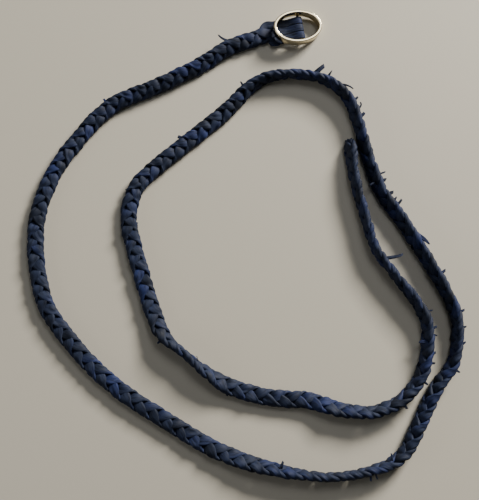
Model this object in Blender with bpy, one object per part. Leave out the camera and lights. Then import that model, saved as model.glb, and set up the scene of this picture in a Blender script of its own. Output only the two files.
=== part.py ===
# A belt plaited from three leather thongs, lying on a flat surface in an open spiral.
# Each thong is doubled round the middle bar of an oval band ring, passes under the ring's
# rim, and runs through the whole plait to the plain tail end.
# Metres, +Z up. The surface that the belt lies on is Z = 0, and +X and +Y are to the right
# and away in the view from above. Sizes below are in millimetres.

import math

import bmesh
import bpy
import numpy as np
from mathutils import Vector

MM = 0.001

# The spiral that the belt's middle line makes
COIL_WIDTH = 268.0       # along X
COIL_LENGTH = 293.2      # along Y

# The thongs and the plait that they make
THONG_WIDTH = 5.0        # where a thong lies flat, round the bar
THONG_THICK = 1.4
CURLED_WIDTH = 3.6       # where the plait curls the same thong
PLAIT_WIDTH = 9.6
PLAIT_THICK = 6.5
PLAIT_PITCH = 30.0       # length in which a thong comes back to the same edge
SWING_SHARE = 0.494      # of a thong to each side, as a share of the room across the plait
LIFT_SHARE = 0.388       # of a thong up and down, as a share of the room in its thickness
EDGE_TURN = 0.9          # how much of a thong's rolling over is near the plait's edges
CREST_LEAN = 0.2         # how early a thong climbs to the top of the plait
GAP = 0.3                # between any two pieces

# The band ring and its middle bar
RING_LENGTH = 33.0
RING_BREADTH = 23.0
RING_WALL = 2.0
RING_HEIGHT = 6.0
RIM_BEVEL = 0.6
BAR_DIAMETER = 2.0
BAR_OFFSET = 2.0         # of the bar from the ring's middle, away from the plait
TILT_ARM = 0.8           # where the ring leans on the thongs, as a share of its length
RING_SIDES = 48
BAR_SIDES = 12

# The doubled ends round the bar
RETURN_LENGTH = 17.0     # of the lower layer, back from the bar
LEVEL_FROM = 6.0         # where that layer lies flat on the surface
UPPER_LEVEL_FROM = 0.3   # where the upper one lies flat on it, as a share of the ring's length
FOLD_STEPS = 6           # stations round half of the bar

# The start and the end of the plait, as distances along the belt
NARROW_FROM = 8.0        # the flat thongs begin to narrow
PLAIT_FROM = 17.0        # and to rise into the plait
PLAIT_FULL = 27.0        # where the plait has its full form
RISE_SHARE = 0.6         # the share of that stretch in which they part in height
DRAW_AFTER = 0.25        # and the share after which they draw together
TAIL_TAPER = 7.0         # the length over which the tail end draws in
TAIL_SHARE = 0.62        # the size of the plait's section at its very end
STATIONS = 9             # sections of a thong in one pitch
FIRST_STATION = 0.25     # of the plait, as a share of the distance between two stations

# Lateral lane of each thong on the bar, and its place in the plait's cycle, in turns
LANES = ((0, 0.0, 0.0), (1, 1 / 3, math.pi), (-1, 2 / 3, math.pi))

# The belt's route from the bar to the tail end: x, y, and the plait's roll in degrees
# about its own line, 0 where it lies flat and 90 where it stands on edge.
ROUTE = (
    (37.5, 143.2, 0),
    (19, 140, 0),
    (4, 134.5, 15),
    (-10, 129, 35),
    (-30, 116, 35),
    (-57.5, 102, 30),
    (-87, 88.5, 25),
    (-109, 65, 10),
    (-125.5, 39, 0),
    (-134, 8, 0),
    (-131, -27, 0),
    (-122, -51, 0),
    (-86.5, -90.5, 0),
    (-39.5, -121.5, 0),
    (-15, -135, 10),
    (12, -144, 45),
    (51, -150, 85),
    (80, -145.5, 75),
    (97, -137, 55),
    (108, -118, 42),
    (118.5, -97.5, 48),
    (130, -81, 62),
    (134, -62, 72),
    (131, -43, 70),
    (102.5, 9, 55),
    (88.5, 30, 58),
    (81.5, 50, 60),
    (70.5, 89.5, 70),
    (58.5, 103.5, 82),
    (43, 109, 90),
    (24, 109.5, 90),
    (8, 104, 65),
    (-12.5, 84, 30),
    (-57, 46.5, 12),
    (-69, 34, 5),
    (-74.5, 16.5, 0),
    (-72.5, 0, 0),
    (-56.5, -52, 10),
    (-49.5, -65, 50),
    (-36.5, -76, 90),
    (-23, -87, 60),
    (-7.5, -96, 10),
    (16, -102, 0),
    (40.5, -104, 10),
    (60, -109.5, 40),
    (79.5, -111, 55),
    (97.5, -103.5, 55),
    (109.5, -89.5, 55),
    (115, -68, 62),
    (113, -50, 70),
    (95, -24, 88),
    (84, -8, 85),
    (76.5, 18, 78),
    (71.5, 39.5, 72),
    (69, 65, 50),
)
ROUTE_STEP = 0.5         # spacing of the smooth line worked out from the route
HEADING_REACH = 1.5      # to each side, over which the belt's direction is taken
REST_SAMPLES = 36        # places in one pitch at which the plait may touch the surface

LEATHER = (0.022, 0.034, 0.075)
GOLD = (0.72, 0.62, 0.42)


def ease(share):
    """0 to 1 with a level start and end."""
    share = min(1.0, max(0.0, share))
    return share * share * (3 - 2 * share)


def smooth_route():
    """The route as x, y, roll rows at even steps along a smooth curve through its points."""
    knots = np.array(ROUTE, dtype=float)
    knots[:, 0] *= COIL_WIDTH / np.ptp(knots[:, 0])
    knots[:, 1] *= COIL_LENGTH / np.ptp(knots[:, 1])
    ahead = 2 * knots[-1] - knots[-2]
    behind = 2 * knots[0] - knots[1]
    knots = np.vstack([behind, knots, ahead])
    spans = np.linalg.norm(np.diff(knots[:, :2], axis=0), axis=1)
    at = np.concatenate([[0], np.cumsum(spans)])
    slopes = (knots[2:] - knots[:-2]) / (at[2:] - at[:-2])[:, None]
    rows = []
    for i in range(1, len(knots) - 2):
        span = at[i + 1] - at[i]
        for u in np.arange(0, 1, ROUTE_STEP / span):
            rows.append(
                (2 * u**3 - 3 * u**2 + 1) * knots[i]
                + (u**3 - 2 * u**2 + u) * span * slopes[i - 1]
                + (3 * u**2 - 2 * u**3) * knots[i + 1]
                + (u**3 - u**2) * span * slopes[i]
            )
    rows.append(knots[-2])
    rows = np.array(rows)
    walked = np.linalg.norm(np.diff(rows[:, :2], axis=0), axis=1)
    return rows, np.concatenate([[0], np.cumsum(walked)])


LINE, ALONG = smooth_route()
BELT_LENGTH = ALONG[-1]


def route_at(s):
    """The point, the direction to the right, and the roll at a distance along the belt."""
    point = [np.interp(s, ALONG, LINE[:, i]) for i in (0, 1)]
    reach = (s - HEADING_REACH, s + HEADING_REACH)
    ends = [[np.interp(t, ALONG, LINE[:, i]) for i in (0, 1)] for t in reach]
    heading = Vector((ends[1][0] - ends[0][0], ends[1][1] - ends[0][1], 0)).normalized()
    right = Vector((heading.y, -heading.x, 0))
    roll = math.radians(np.interp(s, ALONG, LINE[:, 2]))
    return Vector((point[0], point[1], 0)), right, roll


# How far a thong swings to each side and up and down in the plait, so that the plait
# has its width and thickness with the thong rolling over at each edge
SWING = SWING_SHARE * (PLAIT_WIDTH - THONG_THICK)
LIFT = LIFT_SHARE * (PLAIT_THICK - THONG_THICK)


def plaited(phase):
    """A thong's place across the plait, its height in it, and its own roll."""
    across = SWING * math.sin(phase)
    height = LIFT * (math.sin(2 * phase) + CREST_LEAN * math.sin(4 * phase))
    turned = math.atan(EDGE_TURN * math.cos(phase)) / math.atan(EDGE_TURN)
    return across, height, math.pi / 2 * (1 - turned)


def rest_height(roll):
    """Height of the plait's middle over the surface when it lies on it with this roll."""
    lowest = 0.0
    for i in range(REST_SAMPLES):
        across, height, turn = plaited(2 * math.pi * i / REST_SAMPLES)
        for half_width in (-CURLED_WIDTH / 2, CURLED_WIDTH / 2):
            for half_thick in (-THONG_THICK / 2, THONG_THICK / 2):
                x = across + half_width * math.cos(turn) + half_thick * math.sin(turn)
                z = height - half_width * math.sin(turn) + half_thick * math.cos(turn)
                lowest = min(lowest, x * math.sin(roll) + z * math.cos(roll))
    return -lowest


# The ring lies on the surface at its far end and on the two layers of thongs at the other
HALF = RING_LENGTH / 2
RIM_CLEAR = 2 * THONG_THICK + 3 * GAP
RING_TILT = math.asin(RIM_CLEAR / (TILT_ARM * RING_LENGTH))
BAR_HEIGHT = (HALF - BAR_OFFSET) * math.sin(RING_TILT) + BAR_DIAMETER / 2 * math.cos(RING_TILT)
FOLD_RADIUS = BAR_DIAMETER / 2 + GAP + THONG_THICK / 2
LAYER_HEIGHT = THONG_THICK + GAP + THONG_THICK / 2


def flat_width(s):
    """Width of a thong on its way from the bar into the plait."""
    narrowed = ease((s - NARROW_FROM) / (PLAIT_FROM - NARROW_FROM))
    return THONG_WIDTH + (CURLED_WIDTH - THONG_WIDTH) * narrowed


def upper_height(s):
    """Height of the upper layer's middle between the bar and the ring's rim."""
    top = BAR_HEIGHT + FOLD_RADIUS
    return top + (LAYER_HEIGHT - top) * ease(s / (UPPER_LEVEL_FROM * RING_LENGTH))


def thong_stations(lane, cycle, flip):
    """(middle, side direction, width, thickness) rows of one thong, lower end to tail."""
    rows = []
    bar, right = route_at(0)[:2]
    back = Vector((-right.y, right.x, 0))
    offset = right * lane * (THONG_WIDTH + GAP)
    for s in (RETURN_LENGTH, (RETURN_LENGTH + LEVEL_FROM) / 2, LEVEL_FROM, LEVEL_FROM / 2):
        height = THONG_THICK / 2
        height += (BAR_HEIGHT - FOLD_RADIUS - height) * (1 - ease(s / LEVEL_FROM))
        place = bar + back * s + offset + Vector((0, 0, height))
        rows.append((place, right, THONG_WIDTH, THONG_THICK))
    for i in range(FOLD_STEPS + 1):
        angle = math.pi * (i / FOLD_STEPS - 0.5)
        place = back * -FOLD_RADIUS * math.cos(angle)
        place += Vector((0, 0, BAR_HEIGHT + FOLD_RADIUS * math.sin(angle)))
        rows.append((bar + offset + place, right, THONG_WIDTH, THONG_THICK))
    step = PLAIT_PITCH / STATIONS
    count = int((BELT_LENGTH - PLAIT_FROM) / step)
    before = int(PLAIT_FROM / step)
    for i in range(1 - before, count + 1):
        s = PLAIT_FROM + (i + FIRST_STATION) * step
        rows.append(plait_station(s, lane, cycle, flip))
    rows.append(plait_station(BELT_LENGTH, lane, cycle, flip))
    return rows


def plait_station(s, lane, cycle, flip):
    """One station of a thong past the bar: flat there, then mixed into the plait."""
    middle, right, roll = route_at(s)
    lead = min(1.0, max(0.0, (s - PLAIT_FROM) / (PLAIT_FULL - PLAIT_FROM)))
    rise = ease(lead / RISE_SHARE)
    draw = ease((lead - DRAW_AFTER) / (1 - DRAW_AFTER))
    run = max(0.0, s - PLAIT_FULL) + lead * lead * (PLAIT_FULL - PLAIT_FROM) / 2
    phase = 2 * math.pi * (cycle + run / PLAIT_PITCH)
    across, height, turn = plaited(phase)
    size = 1 - (1 - TAIL_SHARE) * ease((s - BELT_LENGTH + TAIL_TAPER) / TAIL_TAPER)
    roll *= rise
    width = flat_width(s)
    across = draw * across * size + (1 - draw) * lane * (width + GAP)
    height *= rise * size
    turn = (turn - flip) * rise
    level = rise * rest_height(roll) * size + (1 - rise) * upper_height(s)
    plait_right = right * math.cos(roll) + Vector((0, 0, math.sin(roll)))
    plait_up = right * -math.sin(roll) + Vector((0, 0, math.cos(roll)))
    place = middle + plait_right * across + plait_up * height + Vector((0, 0, level))
    side = plait_right * math.cos(turn) - plait_up * math.sin(turn)
    return place, side, width * size, THONG_THICK * size


def section_corners(rows, i):
    """The four corners of a thong's section at station i, square to its own path."""
    place, side, width, thick = rows[i]
    after = rows[min(i + 1, len(rows) - 1)][0]
    before = rows[max(i - 1, 0)][0]
    path = (after - before).normalized()
    side = (side - path * side.dot(path)).normalized()
    face = side.cross(path)
    return [
        (place + side * (a * width / 2) + face * (b * thick / 2)) * MM
        for a, b in ((-1, -1), (1, -1), (1, 1), (-1, 1))
    ]


def coloured(name, colour, roughness, metallic):
    """A plain material of this colour."""
    material = bpy.data.materials.new(name)
    material.use_nodes = True
    shader = material.node_tree.nodes["Principled BSDF"]
    shader.inputs["Base Color"].default_value = (*colour, 1)
    shader.inputs["Roughness"].default_value = roughness
    shader.inputs["Metallic"].default_value = metallic
    return material


def add_object(name, bm, material):
    """Puts a finished bmesh in the scene as one named object."""
    bmesh.ops.recalc_face_normals(bm, faces=bm.faces)
    mesh = bpy.data.meshes.new(name)
    bm.to_mesh(mesh)
    bm.free()
    mesh.materials.append(material)
    piece = bpy.data.objects.new(name, mesh)
    bpy.context.scene.collection.objects.link(piece)
    return piece


def make_thong(name, lane, cycle, flip, material):
    """One leather thong, lofted through its stations."""
    rows = thong_stations(lane, cycle, flip)
    bm = bmesh.new()
    ring = [bm.verts.new(place) for place in section_corners(rows, 0)]
    bm.faces.new(ring)
    for i in range(1, len(rows)):
        following = [bm.verts.new(place) for place in section_corners(rows, i)]
        for j in range(4):
            bm.faces.new((ring[j], ring[j - 1], following[j - 1], following[j]))
        ring = following
    bm.faces.new(ring)
    return add_object(name, bm, material)


def make_ring(material):
    """The oval band with its middle bar, soldered into one piece."""
    bm = bmesh.new()
    bmesh.ops.create_circle(bm, segments=RING_SIDES, radius=1)
    scale = Vector((RING_LENGTH / 2 * MM, RING_BREADTH / 2 * MM, 1))
    bmesh.ops.scale(bm, vec=scale, verts=bm.verts)
    up = bmesh.ops.extrude_edge_only(bm, edges=bm.edges[:])["geom"]
    rim = [v for v in up if isinstance(v, bmesh.types.BMVert)]
    bmesh.ops.translate(bm, vec=(0, 0, RING_HEIGHT * MM), verts=rim)
    bmesh.ops.recalc_face_normals(bm, faces=bm.faces)
    bmesh.ops.solidify(bm, geom=bm.faces[:], thickness=RING_WALL * MM)
    edges = [e for e in bm.edges if e.calc_face_angle(0) > math.radians(60)]
    bmesh.ops.bevel(
        bm, geom=edges, offset=RIM_BEVEL * MM, segments=1, profile=0.5, affect="EDGES", material=-1
    )
    ring = add_object("buckle_ring", bm, material)

    bm = bmesh.new()
    bmesh.ops.create_cone(
        bm,
        cap_ends=True,
        segments=BAR_SIDES,
        radius1=BAR_DIAMETER / 2 * MM,
        radius2=BAR_DIAMETER / 2 * MM,
        depth=(RING_BREADTH - RING_WALL) * MM,
    )
    bar = add_object("middle_bar", bm, material)
    bar.rotation_euler = (math.pi / 2, 0, 0)
    bar.location = (BAR_OFFSET * MM, 0, BAR_DIAMETER / 2 * MM)
    bar.hide_render = True
    bar.display_type = "WIRE"
    bar.parent = ring

    solder = ring.modifiers.new("bar", "BOOLEAN")
    solder.operation = "UNION"
    solder.solver = "EXACT"
    solder.object = bar

    middle, right = route_at(0)[:2]
    length_way = Vector((right.y, -right.x, 0))
    shift = BAR_OFFSET * math.cos(RING_TILT) + BAR_DIAMETER / 2 * math.sin(RING_TILT)
    ring.rotation_euler = (0, RING_TILT, math.atan2(length_way.y, length_way.x))
    ring.location = (middle - length_way * shift + Vector((0, 0, HALF * math.sin(RING_TILT)))) * MM
    return ring


def main():
    for old in list(bpy.data.objects):
        bpy.data.objects.remove(old, do_unlink=True)
    belt = bpy.data.objects.new("belt", None)
    bpy.context.scene.collection.objects.link(belt)
    leather = coloured("navy_leather", LEATHER, 0.55, 0.0)
    gold = coloured("polished_brass", GOLD, 0.18, 1.0)
    pieces = [make_ring(gold)]
    for number, (lane, cycle, flip) in enumerate(LANES, start=1):
        pieces.append(make_thong(f"thong_{number}", lane, cycle, flip, leather))
    for piece in pieces:
        piece.parent = belt

    # The belt is centred on its own outline and stands on Z = 0
    bpy.context.view_layer.update()
    corners = np.array([piece.matrix_world @ v.co for piece in pieces for v in piece.data.vertices])
    low, high = corners.min(axis=0), corners.max(axis=0)
    belt.location = (-(low[0] + high[0]) / 2, -(low[1] + high[1]) / 2, -low[2])


main()
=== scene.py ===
import math

import bmesh
import bpy
import numpy as np
from mathutils import Matrix, Vector


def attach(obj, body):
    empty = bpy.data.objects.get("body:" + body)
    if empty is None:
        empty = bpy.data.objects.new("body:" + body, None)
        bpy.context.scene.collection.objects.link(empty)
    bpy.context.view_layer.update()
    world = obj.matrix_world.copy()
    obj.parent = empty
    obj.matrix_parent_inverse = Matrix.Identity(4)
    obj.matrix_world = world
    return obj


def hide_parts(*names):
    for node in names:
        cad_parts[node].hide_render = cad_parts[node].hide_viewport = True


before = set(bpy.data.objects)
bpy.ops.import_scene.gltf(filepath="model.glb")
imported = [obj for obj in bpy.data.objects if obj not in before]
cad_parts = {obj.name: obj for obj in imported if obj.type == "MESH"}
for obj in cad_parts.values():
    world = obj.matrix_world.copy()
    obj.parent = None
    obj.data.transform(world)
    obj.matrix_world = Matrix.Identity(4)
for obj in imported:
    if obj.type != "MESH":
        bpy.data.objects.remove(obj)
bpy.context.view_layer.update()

MM = 0.001
UP = np.array([0, 0, 1.0])


# ---------------------------------------------------------------------------------------
# The three thongs
# Soft cowhide lace, 5 mm wide and 1.4 mm thick where it lies flat, cut from a drum-dyed
# side, so it is navy right through. Each one is doubled round the buckle's bar, its short
# end under the belt, and plaited with the other two down to the tail.
# ---------------------------------------------------------------------------------------
LACE_WIDTH = 5.0
LACE_THICK = 1.4
LACE_GAP = 0.3
CROSSING_WIDTH = 6.9     # of a lace where it lies flat on top of the plait
EDGE_WIDTH = 4.4         # and where it turns over at the plait's edge
PLAITED_THICK = 3.0      # the lace curls in on itself there
ROUNDING = 0.5           # of the cut strip's edges
CORNER_SHARE = 0.4       # of its thickness, up to which a plaited lace's corners reach
CROWN = 0.34             # the share of its thickness that a lace loses at its edges
BULGE = 0.35             # of a lace's middle away from the plait

# The belt's route over the table from the bar to the tail: x, y in mm, and how far the
# plait is rolled over there, in degrees
ROUTE = (
    (37.5, 143.2, 0), (19, 140, 0), (4, 134.5, 15), (-10, 129, 35), (-30, 116, 35),
    (-57.5, 102, 30), (-87, 88.5, 25), (-109, 65, 10), (-125.5, 39, 0), (-134, 8, 0),
    (-131, -27, 0), (-122, -51, 0), (-86.5, -90.5, 0), (-39.5, -121.5, 0), (-15, -135, 10),
    (12, -144, 45), (51, -150, 85), (80, -145.5, 75), (97, -137, 55), (108, -118, 42),
    (118.5, -97.5, 48), (130, -81, 62), (134, -62, 72), (131, -43, 70), (102.5, 9, 55),
    (88.5, 30, 58), (81.5, 50, 60), (70.5, 89.5, 70), (58.5, 103.5, 82), (43, 109, 90),
    (24, 109.5, 90), (8, 104, 65), (-12.5, 84, 30), (-57, 46.5, 12), (-69, 34, 5),
    (-74.5, 16.5, 0), (-72.5, 0, 0), (-56.5, -52, 10), (-49.5, -65, 50), (-36.5, -76, 90),
    (-23, -87, 60), (-7.5, -96, 10), (16, -102, 0), (40.5, -104, 10), (60, -109.5, 40),
    (79.5, -111, 55), (97.5, -103.5, 55), (109.5, -89.5, 55), (115, -68, 62),
    (113, -50, 70), (95, -24, 88), (84, -8, 85), (76.5, 18, 78), (71.5, 39.5, 72),
    (69, 65, 50),
)
ROUTE_SHIFT = np.array([1.104, -0.704, 0.032])

PLAIT_SWING = 3.65       # of a lace to each side of the plait's middle
PLAIT_LIFT = 1.2         # and above and below it
EDGE_TURN = 2.8          # how much of a lace's rolling over is near the plait's edges
EDGE_SNAP = 0.93         # how sharply it turns back at the edge: 0 softly, 1 with a corner
CREST_LEAN = 0.2         # how early a lace climbs to the top of the plait
SETTLE = 0.8             # by which its lobes flatten where it stands on edge
PITCH = 30.0             # length in which a lace comes back to the same edge

# How much the plaiting varies (phase and roll in radians, swing and width as shares, height
# in mm), and the length in mm along the belt over which it does
UNEVEN_PHASE = (0.25, 41)
UNEVEN_SWING = (0.07, 26)
UNEVEN_HEIGHT = (0.2, 19)
UNEVEN_TURN = (0.25, 23)
UNEVEN_WIDTH = (0.12, 17)

# Each lace has a fold pressed into it here and there, beside its middle
FOLD_DEPTH = (0.8, 14)
FOLD_WANDER = (0.35, 33)
FOLD_PLACE = 0.2         # across the lace, as a share of half its width
FOLD_WIDTH = 0.22

# Heights in mm, and distances along the belt from the bar
BAR_HEIGHT = 3.022
BEND_RADIUS = 2.0        # of the lace's middle round the bar
BEND_STATIONS = 13
RETURN_LENGTH = 17.0     # of the short end under the belt
LEVEL_FROM = 6.0         # where that end lies flat on the table
LAYER_HEIGHT = 2.4       # of the upper layer's middle where it lies flat on the lower one
UPPER_LEVEL_FROM = 9.9
NARROW_FROM = 8.0        # where the flat laces begin to change width
PLAIT_FROM = 17.0        # where they begin to rise into the plait
PLAIT_FULL = 27.0        # where the plait has its full form
RISE_SHARE = 0.6         # the share of that stretch in which they part in height
DRAW_AFTER = 0.25        # and the share after which they draw together
TAIL_TAPER = 7.0         # the length over which the tail end draws in
TAIL_SHARE = 0.62        # the size of the plait's section at its very end
STEP = 0.8               # between a lace's stations
FACES_ACROSS = 8         # of a lace's top
SHARP = 1.0              # radians between two faces, over which their edge is rounded
ROUTE_STEP = 0.5
HEADING_REACH = 1.5      # to each side, over which the belt's direction is taken
TABLE_CLEAR = 0.05       # between the leather and the table
PATTERN_APART = 1000     # between two laces, in the pattern that their dye is drawn in


def ease(share):
    """0 to 1 with a level start and end, for one number or many."""
    share = np.clip(share, 0.0, 1.0)
    return share * share * (3 - 2 * share)


def waver(s, uneven, seed):
    """The unevenness of hand work at many distances along the belt, for an amount and a
    length: three waves that don't fall into step."""
    amount, length = uneven
    turns = 2 * math.pi * s / length
    waves = np.sin(turns + seed) + np.sin(1.62 * turns + 2.3 * seed)
    return amount * (waves + np.sin(0.58 * turns + 4.1 * seed)) / 3


def smooth_route():
    """The route as x, y, roll rows half a millimetre apart, and the distance of each."""
    knots = np.array(ROUTE, dtype=float)
    knots = np.vstack([2 * knots[0] - knots[1], knots, 2 * knots[-1] - knots[-2]])
    at = np.concatenate([[0], np.cumsum(np.linalg.norm(np.diff(knots[:, :2], axis=0), axis=1))])
    slopes = (knots[2:] - knots[:-2]) / (at[2:] - at[:-2])[:, None]
    rows = []
    for i in range(1, len(knots) - 2):
        span = at[i + 1] - at[i]
        for u in np.arange(0, 1, ROUTE_STEP / span):
            rows.append(
                (2 * u**3 - 3 * u**2 + 1) * knots[i]
                + (u**3 - 2 * u**2 + u) * span * slopes[i - 1]
                + (3 * u**2 - 2 * u**3) * knots[i + 1]
                + (u**3 - u**2) * span * slopes[i]
            )
    rows.append(knots[-2])
    rows = np.array(rows)
    walked = np.linalg.norm(np.diff(rows[:, :2], axis=0), axis=1)
    return rows, np.concatenate([[0], np.cumsum(walked)])


LINE, ALONG = smooth_route()
BELT_LENGTH = ALONG[-1]


def route_at(s):
    """Points, directions to the right, and rolls at many distances along the belt."""
    before, here, after = (
        np.stack([np.interp(t, ALONG, LINE[:, 0]), np.interp(t, ALONG, LINE[:, 1])], axis=1)
        for t in (s - HEADING_REACH, s, s + HEADING_REACH)
    )
    point = np.column_stack([here, 0 * s])
    heading = after - before
    heading /= np.linalg.norm(heading, axis=1)[:, None]
    right = np.stack([heading[:, 1], -heading[:, 0], 0 * s], axis=1)
    return point, right, np.radians(np.interp(s, ALONG, LINE[:, 2]))


def plaited(phase):
    """A lace's place across the plait, its height in it, and its own roll."""
    across = PLAIT_SWING * np.arcsin(EDGE_SNAP * np.sin(phase)) / math.asin(EDGE_SNAP)
    height = PLAIT_LIFT * (np.sin(2 * phase) + CREST_LEAN * np.sin(4 * phase))
    turn = math.pi / 2 * (1 - np.arctan(EDGE_TURN * np.cos(phase)) / math.atan(EDGE_TURN))
    return across, height, turn


def rest_heights(roll):
    """Height of the plait's middle over the table when it lies on it with each roll."""
    across, height, turn = plaited(np.radians(np.arange(0, 360, 10)))
    reach = []
    for half in (-EDGE_WIDTH / 2, EDGE_WIDTH / 2):
        for thick in (-CORNER_SHARE * PLAITED_THICK, CORNER_SHARE * PLAITED_THICK):
            x = across + half * np.cos(turn) + thick * np.sin(turn)
            z = height - half * np.sin(turn) + thick * np.cos(turn)
            reach.append(np.outer(np.sin(roll), x) + np.outer(np.cos(roll), z))
    return -np.min(reach, axis=(0, 2))


def lace_stations(lane, cycle, flip, seed):
    """Middles, side directions, faces, widths, thicknesses and bulges down one lace."""
    bar, right = (row[0] for row in route_at(np.zeros(1))[:2])
    back = np.array([-right[1], right[0], 0])
    offset = right * lane * (LACE_WIDTH + LACE_GAP)

    s = np.arange(RETURN_LENGTH, 0, -STEP)
    climb = BAR_HEIGHT - BEND_RADIUS - LACE_THICK / 2
    height = LACE_THICK / 2 + climb * (1 - ease(s / LEVEL_FROM))
    under = bar + offset + back * s[:, None] + UP * height[:, None]
    angle = np.linspace(-math.pi / 2, math.pi / 2, BEND_STATIONS)
    bend = bar + offset - back * (BEND_RADIUS * np.cos(angle))[:, None]
    bend = bend + UP * (BAR_HEIGHT + BEND_RADIUS * np.sin(angle))[:, None]
    doubled = np.vstack([under, bend])

    s = np.append(np.arange(STEP, BELT_LENGTH, STEP), BELT_LENGTH)
    middle, sideways, roll = route_at(s)
    lead = np.clip((s - PLAIT_FROM) / (PLAIT_FULL - PLAIT_FROM), 0, 1)
    rise = ease(lead / RISE_SHARE)
    draw = ease((lead - DRAW_AFTER) / (1 - DRAW_AFTER))
    run = np.maximum(0, s - PLAIT_FULL) + lead * lead * (PLAIT_FULL - PLAIT_FROM) / 2
    phase = 2 * math.pi * (cycle + run / PITCH) + draw * waver(s, UNEVEN_PHASE, seed)
    across, height, turn = plaited(phase)
    across = across * (1 + waver(s, UNEVEN_SWING, seed + 1))
    height = height + waver(s, UNEVEN_HEIGHT, seed + 2)
    turn = turn + waver(s, UNEVEN_TURN, seed + 3)
    size = 1 - (1 - TAIL_SHARE) * ease((s - BELT_LENGTH + TAIL_TAPER) / TAIL_TAPER)
    roll = roll * rise
    plaited_width = EDGE_WIDTH + (CROSSING_WIDTH - EDGE_WIDTH) * np.abs(np.cos(phase))
    plaited_width = plaited_width * (1 + waver(s, UNEVEN_WIDTH, seed + 4))
    narrow = ease((s - NARROW_FROM) / (PLAIT_FROM - NARROW_FROM))
    width = LACE_WIDTH + (plaited_width - LACE_WIDTH) * narrow
    thick = LACE_THICK + (PLAITED_THICK - LACE_THICK) * draw
    across = draw * across * size + (1 - draw) * lane * (width + LACE_GAP)
    height = height * rise * size
    turn = (turn - flip) * rise
    top = BAR_HEIGHT + BEND_RADIUS
    upper = top + (LAYER_HEIGHT - top) * ease(s / UPPER_LEVEL_FROM)
    level = rise * (rest_heights(roll) - SETTLE * np.sin(roll)) * size + (1 - rise) * upper
    plait_right = sideways * np.cos(roll)[:, None] + UP * np.sin(roll)[:, None]
    plait_up = -sideways * np.sin(roll)[:, None] + UP * np.cos(roll)[:, None]
    place = middle + plait_right * across[:, None] + plait_up * height[:, None]
    place = place + UP * level[:, None]
    side = plait_right * np.cos(turn)[:, None] - plait_up * np.sin(turn)[:, None]

    count = len(doubled)
    places = np.vstack([doubled, place]) + ROUTE_SHIFT
    sides = np.vstack([np.tile(right, (count, 1)), side])
    widths = np.concatenate([np.full(count, LACE_WIDTH), width * size])
    thicks = np.concatenate([np.full(count, LACE_THICK), thick * size])
    outward = np.sin(phase) * (-1 if flip else 1)
    bulges = np.concatenate([np.zeros(count), BULGE * draw * size * outward])
    paths = np.gradient(places, axis=0)
    paths /= np.linalg.norm(paths, axis=1)[:, None]
    sides = sides - paths * np.sum(sides * paths, axis=1)[:, None]
    sides /= np.linalg.norm(sides, axis=1)[:, None]
    return places, sides, np.cross(sides, paths), widths, thicks, bulges


def linear(code):
    """An sRGB hex colour as linear red, green, blue and alpha."""
    parts = [int(code[i:i + 2], 16) / 255 for i in (1, 3, 5)]
    return (*[c / 12.92 if c <= 0.04045 else ((c + 0.055) / 1.055) ** 2.4 for c in parts], 1)


def add_node(material, kind, settings, links):
    """One node of a material, with its settings and the links into it."""
    node = material.node_tree.nodes.new(kind)
    for key, value in settings.items():
        if isinstance(key, str) and hasattr(node, key):
            setattr(node, key, value)
        else:
            node.inputs[key].default_value = value
    for key, source in links.items():
        material.node_tree.links.new(source, node.inputs[key])
    return node


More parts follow.
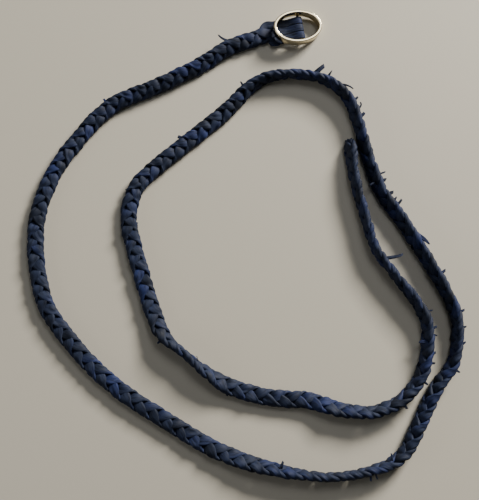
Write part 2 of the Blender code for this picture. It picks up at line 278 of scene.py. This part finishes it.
def dyed_cowhide():
    """Drum-dyed cowhide lace with its grain face out: a satin skin in uneven navy, paler
    and greyer in patches where it has rubbed, with painted shade darkening the creases drawn
    along it."""
    material = bpy.data.materials.new("dyed_cowhide")
    material.use_nodes = True
    shader = material.node_tree.nodes["Principled BSDF"]
    link = material.node_tree.links.new
    # x is across the lace, y along it, and z through it, in mm
    strip = add_node(material, "ShaderNodeAttribute", {"attribute_name": "strip"}, {})
    strip = strip.outputs["Vector"]
    place = add_node(material, "ShaderNodeTexCoord", {}, {}).outputs["Object"]

    # The dye took differently in each length of lace that is spliced in: 45 mm patches
    lengths = add_node(
        material, "ShaderNodeMapping", {"Scale": (0.05, 0.022, 0)}, {"Vector": strip}
    )
    dye = add_node(
        material, "ShaderNodeTexNoise", {"Scale": 1.0, "Detail": 2.0, "Roughness": 0.6},
        {"Vector": lengths.outputs["Vector"]},
    )
    blue = add_node(material, "ShaderNodeValToRGB", {}, {"Fac": dye.outputs["Fac"]})
    blue.color_ramp.elements[0].position = 0.36
    blue.color_ramp.elements[0].color = linear("#1b2130")
    blue.color_ramp.elements[1].position = 0.66
    blue.color_ramp.elements[1].color = linear("#242f58")
    middle = blue.color_ramp.elements.new(0.5)
    middle.color = linear("#242c42")

    # Rubbed patches, 3 to 6 mm, drawn out along the lace
    rub = add_node(material, "ShaderNodeMapping", {"Scale": (0.35, 0.14, 0.3)}, {"Vector": strip})
    patches = add_node(
        material, "ShaderNodeTexNoise", {"Scale": 1.0, "Detail": 4.0, "Roughness": 0.65},
        {"Vector": rub.outputs["Vector"]},
    )
    worn = add_node(
        material, "ShaderNodeMapRange", {"From Min": 0.48, "From Max": 0.78, "To Max": 0.4},
        {"Value": patches.outputs["Fac"]},
    )
    skin = add_node(
        material, "ShaderNodeMix", {"data_type": "RGBA", 7: linear("#3a445a")},
        {0: worn.outputs["Result"], 6: blue.outputs["Color"]},
    )

    # Creases drawn along the lace by the plaiting, 0.9 mm wide, darkened with painted shade
    drawn = add_node(material, "ShaderNodeMapping", {"Scale": (1.1, 0.24, 1)}, {"Vector": strip})
    creases = add_node(
        material, "ShaderNodeTexNoise", {"Scale": 1.0, "Detail": 3.0, "Roughness": 0.55},
        {"Vector": drawn.outputs["Vector"]},
    )
    painted_crease_shade = add_node(
        material, "ShaderNodeMapRange",
        {"From Min": 0.36, "From Max": 0.5, "To Min": 0.55, "To Max": 0.0},
        {"Value": creases.outputs["Fac"]},
    )
    # painted shade: the skin colour is mixed towards near-black navy along the creases
    crease_shaded_skin = add_node(
        material, "ShaderNodeMix", {"data_type": "RGBA", 7: linear("#0c111c")},
        {0: painted_crease_shade.outputs["Result"], 6: skin.outputs[2]},
    )
    link(crease_shaded_skin.outputs[2], shader.inputs["Base Color"])

    # The rubbed patches have lost their dressing and are duller
    gloss = add_node(
        material, "ShaderNodeMapRange",
        {"From Min": 0.3, "From Max": 0.7, "To Min": 0.56, "To Max": 0.72},
        {"Value": patches.outputs["Fac"]},
    )
    link(gloss.outputs["Result"], shader.inputs["Roughness"])
    shader.inputs["Specular IOR Level"].default_value = 0.15

    # Hair cells of the grain, really 0.2 mm and drawn at 0.7 mm so that they show, over
    # the creases
    grain = add_node(
        material, "ShaderNodeTexVoronoi", {"Scale": 1400.0, "feature": "F1"}, {"Vector": place}
    )
    low = add_node(
        material, "ShaderNodeBump", {"Strength": 0.5, "Distance": 0.0004},
        {"Height": creases.outputs["Fac"]},
    )
    fine = add_node(
        material, "ShaderNodeBump", {"Strength": 0.15, "Distance": 0.0001},
        {"Height": grain.outputs["Distance"], "Normal": low.outputs["Normal"]},
    )
    link(fine.outputs["Normal"], shader.inputs["Normal"])
    return material


def add_object(name, bm, material):
    """A finished object of this mesh at the origin, in one material."""
    mesh = bpy.data.meshes.new(name)
    bm.to_mesh(mesh)
    bm.free()
    mesh.materials.append(material)
    mesh.shade_smooth()
    made = bpy.data.objects.new(name, mesh)
    bpy.context.scene.collection.objects.link(made)
    return made


def cut_strip(bm, count, width, thick, rounding):
    """Cuts a flat strip, one unit long between stations, with its thickness and edges."""
    long = count - 1
    bmesh.ops.create_grid(bm, x_segments=long, y_segments=FACES_ACROSS, size=0.5)
    bmesh.ops.scale(bm, vec=(long, width, 1), verts=bm.verts)
    bmesh.ops.translate(bm, vec=(long / 2, 0, -thick / 2), verts=bm.verts)
    bmesh.ops.solidify(bm, geom=bm.faces[:], thickness=-thick)
    bmesh.ops.recalc_face_normals(bm, faces=bm.faces)
    # Only the four long edges; the ends are cut square
    edges = [
        e for e in bm.edges
        if e.calc_face_angle(0) > SHARP and abs(e.verts[0].co.x - e.verts[1].co.x) > 0.5
    ]
    bmesh.ops.bevel(
        bm, geom=edges, offset=rounding, segments=3, profile=0.5, affect="EDGES", material=-1
    )


def lay_lace(name, stations, seed, material):
    """Lays a cut strip along its stations, crowned, folded and pressed on the table."""
    places, sides, faces, widths, thicks, bulges = stations
    count = len(places)
    bm = bmesh.new()
    cut_strip(bm, count, LACE_WIDTH, LACE_THICK, ROUNDING)
    strip = bm.verts.layers.float_vector.new("strip")
    walked = np.concatenate([[0], np.cumsum(np.linalg.norm(np.diff(places, axis=0), axis=1))])
    middles = FOLD_PLACE + waver(walked, FOLD_WANDER, seed)
    depths = np.maximum(0, waver(walked, FOLD_DEPTH, seed + 5))
    for v in bm.verts:
        i = min(count - 1, max(0, round(v.co.x)))
        share = 2 * v.co.y / LACE_WIDTH
        half = v.co.z / LACE_THICK * thicks[i] * (1 - CROWN * share * share)
        fold = depths[i] * math.exp(-((share - middles[i]) / FOLD_WIDTH) ** 2)
        out = half - math.copysign(fold, half) + bulges[i] * (0.5 - share * share)
        v[strip] = (v.co.y, walked[i] + PATTERN_APART * seed, v.co.z)
        place = places[i] + sides[i] * (v.co.y / LACE_WIDTH * widths[i]) + faces[i] * out
        place[2] = max(place[2], TABLE_CLEAR)
        v.co = place * MM
    return add_object(name, bm, material)


cowhide = dyed_cowhide()
# Node, place beside the middle one, start in the plait's pitch, and roll where it starts
LANES = (
    ("thong_1", 0, 0.0, 0.0), ("thong_2", 1, 1 / 3, math.pi), ("thong_3", -1, 2 / 3, math.pi),
)
for seed, (node, lane, cycle, flip) in enumerate(LANES, start=1):
    lace = lay_lace(node + "_lace", lace_stations(lane, cycle, flip, seed), seed, cowhide)
    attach(lace, "root")
    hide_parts(node)


# ---------------------------------------------------------------------------------------
# The splice ends
# A lace is only as long as its hide, so each thong is spliced from shorter lengths of the
# same cowhide. Their thinned ends, trimmed at a slant by hand, stick out between the laces
# as stubs of 1 to 10 mm.
# ---------------------------------------------------------------------------------------
# Distance along the belt, side (1 right, -1 left), length and width at the root in mm,
# lean along the belt and lift off the table in degrees, curl over the length, and the
# share of that width at the cut tip
SPLICE_ENDS = (
    (47, 1, 7.5, 1.8, 51, 15, -50, 0.5), (140, 1, 1.8, 2.1, -21, 20, 30, 0.55),
    (295, 1, 1.3, 1.5, 30, 10, 20, 0.65), (308, -1, 1.3, 1.8, 11, 15, 0, 0.45),
    (470, -1, 1.4, 1.8, 1, 25, -20, 0.75), (525, 1, 2.4, 1.4, -16, 10, 0, 0.6),
    (528, 1, 2.1, 1.3, -8, 5, 20, 0.75), (540, -1, 1.8, 1.4, 23, 20, 0, 0.55),
    (610, 1, 1.6, 2.0, -1, 15, 0, 0.45), (625, 1, 1.4, 2.0, 34, 15, 20, 0.45),
    (635, 1, 1.4, 2.1, 24, 15, -20, 0.45), (645, 1, 1.7, 1.9, 11, 15, 0, 0.75),
    (671, 1, 1.8, 2.0, 16, 20, -20, 0.85), (701, 1, 8.5, 3.4, -62, 15, -30, 0.3),
    (723, 1, 3.0, 2.0, 2, 20, 30, 0.65), (726, 1, 1.4, 1.9, 18, 20, 0, 0.45),
    (732, 1, 1.6, 2.9, -8, 20, 0, 0.55), (742, 1, 1.3, 2.4, 5, 15, -30, 0.85),
    (743, -1, 1.2, 1.4, -13, 15, 0, 0.85), (747, 1, 2.8, 1.3, 2, 15, 0, 0.65),
    (788, 1, 1.7, 2.6, 7, 20, 60, 0.65), (793, 1, 3.6, 1.5, 13, 20, 120, 0.5),
    (800, 1, 1.7, 2.1, -13, 20, 60, 0.55), (814, 1, 8.5, 1.3, -60, 25, -40, 0.6),
    (822, 1, 3.6, 2.0, -9, 30, 0, 0.2), (831, 1, 6.6, 3.2, -38, 30, 0, 0.8),
    (879, 1, 2.0, 1.8, -15, 30, 0, 0.45), (933, 1, 2.0, 2.9, -5, 10, 60, 0.65),
    (981, 1, 1.6, 2.1, -19, 10, 0, 0.55), (1001, -1, 1.4, 2.1, 7, 10, 0, 0.45),
    (1030, -1, 3.8, 3.2, 55, 8, 0, 0.35), (1079, 1, 1.4, 1.5, -1, 15, 0, 0.65),
    (1104, -1, 3.2, 0.7, -72, 35, 0, 0.5), (1106, -1, 2.8, 0.7, -52, 35, 0, 0.5),
    (1129, 1, 1.4, 1.9, 26, 5, 0, 0.65), (1239, 1, 1.6, 2.1, 2, 10, 0, 0.55),
    (1257, 1, 1.4, 1.9, -11, 15, 0, 0.55), (1268, 1, 1.3, 1.8, 16, 15, 0, 0.65),
    (1273, 1, 1.4, 1.9, 38, 15, 0, 0.65), (1281, -1, 1.6, 2.0, -6, 10, 0, 0.65),
    (1286, 1, 1.2, 1.5, -17, 15, 0, 0.45), (1289, 1, 1.4, 1.8, 18, 15, 0, 0.85),
    (1300, 1, 1.7, 1.2, -18, 20, 0, 0.65), (1342, 1, 10.0, 2.4, -30, 8, 20, 0.65),
)
END_STATIONS = 9
END_THICK = 1.2
END_ROUNDING = 0.2
THINNING = 0.4           # of an end's thickness at its tip
DROOP = 1.4              # how soon an end stops climbing: 1 at its tip, 2 halfway
CUT_SLANT = 0.5          # of the cut across the tip
ROOT_DEPTH = 2.6         # of an end inside the plait
SIDE_REACH_FLAT = 4.3    # of the plait from its middle, where it lies flat
SIDE_REACH_EDGE = 2.6    # and where it stands on edge
EDGE_RAISE = 1.6         # of an end's root there, over the plait's middle
END_APART = 3            # between ends 1 mm apart, in the pattern of the dye


def add_end(bm, s, side, length, width, lean, lift, curl, tip):
    """One trimmed end: a strip that tapers to its cut tip and curls as it dries."""
    middle, right, roll = (row[0] for row in route_at(np.array([float(s)])))
    out = right * side
    heading = np.array([-right[1], right[0], 0])
    level = rest_heights(np.array([roll]))[0]
    reach = SIDE_REACH_EDGE * abs(math.sin(roll)) + SIDE_REACH_FLAT * abs(math.cos(roll))
    start = middle + ROUTE_SHIFT + out * (reach - ROOT_DEPTH)
    start = start + UP * (level + EDGE_RAISE * math.sin(roll))
    total = length + ROOT_DEPTH
    one = bmesh.new()
    cut_strip(one, END_STATIONS, 1.0, END_THICK, END_ROUNDING)
    strip = one.verts.layers.float_vector.new("strip")
    place, places = start, []
    for i in range(END_STATIONS):
        share = i / (END_STATIONS - 1)
        angle = math.radians(lean + curl * share * share * side)
        climb = math.radians(lift * (1 - DROOP * share))
        way = out * math.cos(angle) + heading * math.sin(angle)
        way = way * math.cos(climb) + UP * math.sin(climb)
        across = np.cross(UP, way)
        across /= np.linalg.norm(across)
        places.append((place, across, np.cross(way, across)))
        place = place + way * total / (END_STATIONS - 1)
    for v in one.verts:
        i = min(END_STATIONS - 1, max(0, round(v.co.x)))
        share = i / (END_STATIONS - 1)
        taper = 1 - (1 - tip) * share**1.5
        centre, across, face = places[i]
        if i == END_STATIONS - 1:
            centre = centre + np.cross(across, face) * (CUT_SLANT * v.co.y * width * taper)
        v[strip] = (v.co.y * width, s * END_APART + share * total, v.co.z)
        thinned = v.co.z * (1 - THINNING * share)
        v.co = (centre + across * (v.co.y * width * taper) + face * thinned) * MM
    piece = bpy.data.meshes.new("end")
    one.to_mesh(piece)
    one.free()
    bm.from_mesh(piece)
    bpy.data.meshes.remove(piece)


bm = bmesh.new()
bm.verts.layers.float_vector.new("strip")
for row in SPLICE_ENDS:
    add_end(bm, *row)
splices = add_object("splice_ends", bm, cowhide)
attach(splices, "root")


# ---------------------------------------------------------------------------------------
# The buckle ring
# An oval band bent from brass strip, 6 mm high and 2 mm thick, and soldered shut, with a
# 2 mm bar soldered across it that the thongs are doubled round. Its rims are tumbled
# round, and it is plated pale gold. It leans on the thongs at its near end.
# ---------------------------------------------------------------------------------------
RING_LENGTH = 33.0
RING_BREADTH = 23.0
RING_WALL = 2.0
RING_HEIGHT = 6.0
RING_PLACE = (36.51, 142.15, 2.34)
RING_TURN = 9.468        # about the upright, in degrees
RING_TILT = 8.057        # of its near end, raised on the thongs
RIM_ROUNDING = 0.6
BAR_OFFSET = 2.0         # from the ring's middle, away from the plait
BAR_DIAMETER = 2.0


def polished_gold():
    """Brass with a thin pale gold plate, buffed: nearly a mirror, with faint polishing
    lines round the band and a slightly warmer, duller film where fingers don't reach."""
    material = bpy.data.materials.new("plated_brass")
    material.use_nodes = True
    shader = material.node_tree.nodes["Principled BSDF"]
    shader.inputs["Metallic"].default_value = 1.0
    link = material.node_tree.links.new
    place = add_node(material, "ShaderNodeTexCoord", {}, {}).outputs["Object"]
    film = add_node(
        material, "ShaderNodeTexNoise", {"Scale": 160.0, "Detail": 4.0, "Roughness": 0.6},
        {"Vector": place},
    )
    tint = add_node(
        material, "ShaderNodeMix",
        {"data_type": "RGBA", 6: linear("#eee4c8"), 7: linear("#dccba3")},
        {0: film.outputs["Fac"]},
    )
    link(tint.outputs[2], shader.inputs["Base Color"])
    dull = add_node(
        material, "ShaderNodeMapRange",
        {"From Min": 0.35, "From Max": 0.7, "To Min": 0.12, "To Max": 0.24},
        {"Value": film.outputs["Fac"]},
    )
    link(dull.outputs["Result"], shader.inputs["Roughness"])
    # Polishing lines run round the band, 0.3 mm apart up its height
    lines = add_node(material, "ShaderNodeMapping", {"Scale": (60, 60, 3000)}, {"Vector": place})
    scratch = add_node(
        material, "ShaderNodeTexNoise", {"Scale": 1.0, "Detail": 2.0},
        {"Vector": lines.outputs["Vector"]},
    )
    bump = add_node(
        material, "ShaderNodeBump", {"Strength": 0.08, "Distance": 0.00005},
        {"Height": scratch.outputs["Fac"]},
    )
    link(bump.outputs["Normal"], shader.inputs["Normal"])
    return material


bm = bmesh.new()
bmesh.ops.create_circle(bm, segments=144, radius=1)
bmesh.ops.scale(bm, vec=(RING_LENGTH / 2, RING_BREADTH / 2, 1), verts=bm.verts)
up = bmesh.ops.extrude_edge_only(bm, edges=bm.edges[:])["geom"]
raised = [v for v in up if isinstance(v, bmesh.types.BMVert)]
bmesh.ops.translate(bm, vec=(0, 0, RING_HEIGHT), verts=raised)
bmesh.ops.recalc_face_normals(bm, faces=bm.faces)
bmesh.ops.solidify(bm, geom=bm.faces[:], thickness=RING_WALL)
corners = [e for e in bm.edges if e.calc_face_angle(0) > SHARP]
bmesh.ops.bevel(
    bm, geom=corners, offset=RIM_ROUNDING, segments=5, profile=0.5, affect="EDGES", material=-1
)
along_bar = Matrix.Translation((BAR_OFFSET, 0, BAR_DIAMETER / 2))
along_bar = along_bar @ Matrix.Rotation(math.pi / 2, 4, "X")
bmesh.ops.create_cone(
    bm, cap_ends=True, segments=32, radius1=BAR_DIAMETER / 2, radius2=BAR_DIAMETER / 2,
    depth=RING_BREADTH - RING_WALL, matrix=along_bar,
)
stand = Matrix.Translation(RING_PLACE) @ Matrix.Rotation(math.radians(RING_TURN), 4, "Z")
stand = stand @ Matrix.Rotation(math.radians(RING_TILT), 4, "Y")
bmesh.ops.transform(bm, matrix=Matrix.Scale(MM, 4) @ stand, verts=bm.verts)
bmesh.ops.recalc_face_normals(bm, faces=bm.faces)
ring = add_object("buckle_ring_band", bm, polished_gold())
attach(ring, "root")
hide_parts("buckle_ring")


# ---------------------------------------------------------------------------------------
# The table, the light and the camera
# A pale honed stone top. A low window from the far right throws the soft shadows, a dim
# panel overhead fills them, and a wall at the left gives a little of the window's light
# back. The camera stands where the photo's did and looks down at 79 degrees.
# ---------------------------------------------------------------------------------------
CAMERA_TILT = 11         # from straight down, in degrees
SENSOR_WIDTH = 36
PHOTO_WIDTH = 479
FOCAL_LENGTH = 900       # in the photo's pixels


def honed_stone():
    """Pale limestone, honed to a dull, even face."""
    material = bpy.data.materials.new("honed_stone")
    material.use_nodes = True
    shader = material.node_tree.nodes["Principled BSDF"]
    shader.inputs["Base Color"].default_value = linear("#c1bdb1")
    shader.inputs["Roughness"].default_value = 0.55
    return material


bm = bmesh.new()
bmesh.ops.create_grid(bm, x_segments=2, y_segments=2, size=1.5)
table = add_object("table", bm, honed_stone())

world = bpy.data.worlds.new("studio")
world.use_nodes = True
room = world.node_tree.nodes["Background"]
room.inputs["Color"].default_value = linear("#d9d6cf")
room.inputs["Strength"].default_value = 0.06
bpy.context.scene.world = world


def add_panel(name, towards, distance, width, height, watts):
    """A soft light panel that faces the belt's middle from this direction."""
    panel = bpy.data.objects.new(name, bpy.data.lights.new(name, "AREA"))
    panel.data.shape = "RECTANGLE"
    panel.data.size = width
    panel.data.size_y = height
    panel.data.energy = watts
    towards = Vector(towards).normalized()
    panel.location = towards * distance
    panel.rotation_euler = towards.to_track_quat("Z", "Y").to_euler()
    bpy.context.scene.collection.objects.link(panel)
    return panel


window = add_panel("window", (0.60, 0.70, 0.40), 2.4, 0.78, 0.56, 138)
window.data.color = linear("#fff8ec")[:3]
add_panel("overhead", (0.30, 0.46, 0.83), 1.5, 0.6, 0.6, 3.5)
add_panel("wall_bounce", (-0.85, -0.25, 0.35), 1.2, 0.9, 0.5, 2.4)

camera = bpy.data.objects.new("camera", bpy.data.cameras.new("camera"))
camera.data.sensor_fit = "HORIZONTAL"
camera.data.sensor_width = SENSOR_WIDTH
camera.data.lens = SENSOR_WIDTH * FOCAL_LENGTH / PHOTO_WIDTH
camera.location = (-0.0019, -0.1195, 0.5695)
camera.rotation_euler = (math.radians(CAMERA_TILT), 0, 0)
bpy.context.scene.collection.objects.link(camera)
bpy.context.scene.camera = camera
